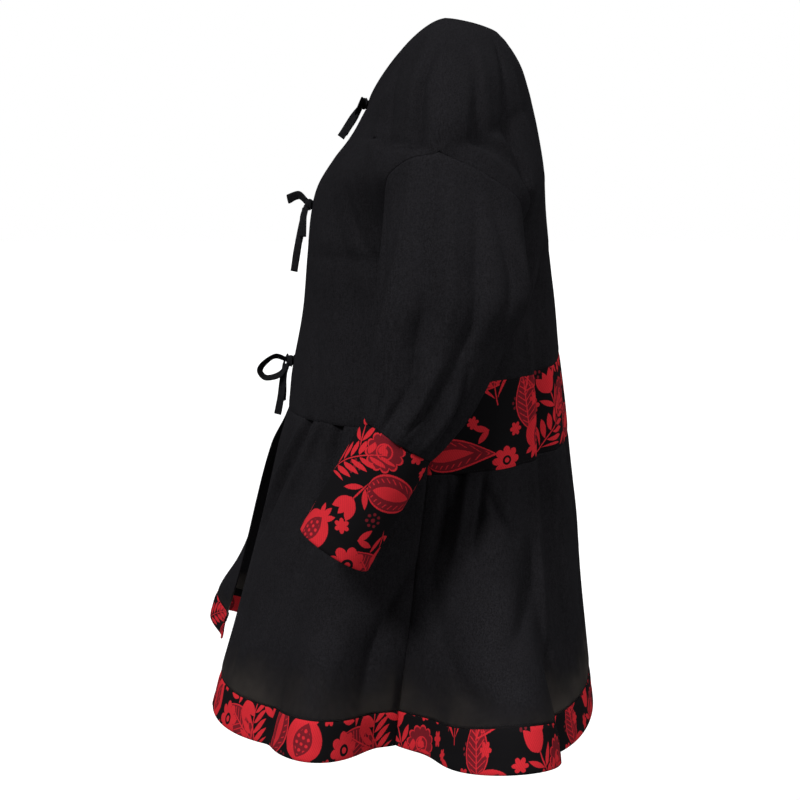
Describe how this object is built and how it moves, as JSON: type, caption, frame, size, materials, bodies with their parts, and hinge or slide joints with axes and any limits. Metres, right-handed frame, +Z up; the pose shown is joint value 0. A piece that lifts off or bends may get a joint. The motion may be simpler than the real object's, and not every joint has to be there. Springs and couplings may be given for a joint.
{
  "type": "short open-front manteau",
  "caption": "Short collarless open-front manteau with dropped sleeves, tied fronts, a back waist band, gathered cuffs and a flared, banded hem, in worn form.",
  "frame": {"origin": "between the neck ends of the two shoulder seams, where the wearer's shoulders and neck hold the garment", "axes": "+Z up along the wearer's body, -Y to the wearer's front, +X to the wearer's left"},
  "size_m": [0.7512, 0.4807, 0.7849],
  "materials": {
    "crepe": "matt crepe weave, slightly sheer",
    "printed_cotton": "matt cotton printed in red on black",
    "tie": "narrow folded crepe tie"
  },
  "bodies": {
    "root": {"bodice_front_left": "crepe", "skirt_front_left": "crepe", "hem_band_front_left": "printed_cotton", "bodice_front_right": "crepe", "skirt_front_right": "crepe", "hem_band_front_right": "printed_cotton", "bodice_back": "crepe", "waist_band_back": "printed_cotton", "skirt_back": "crepe", "hem_band_back": "printed_cotton", "sleeve_left": "crepe", "cuff_left": "printed_cotton", "sleeve_right": "crepe", "cuff_right": "printed_cotton", "bow_neck": "tie", "bow_bust": "tie", "bow_waist": "tie"}
  },
  "joints": []
}
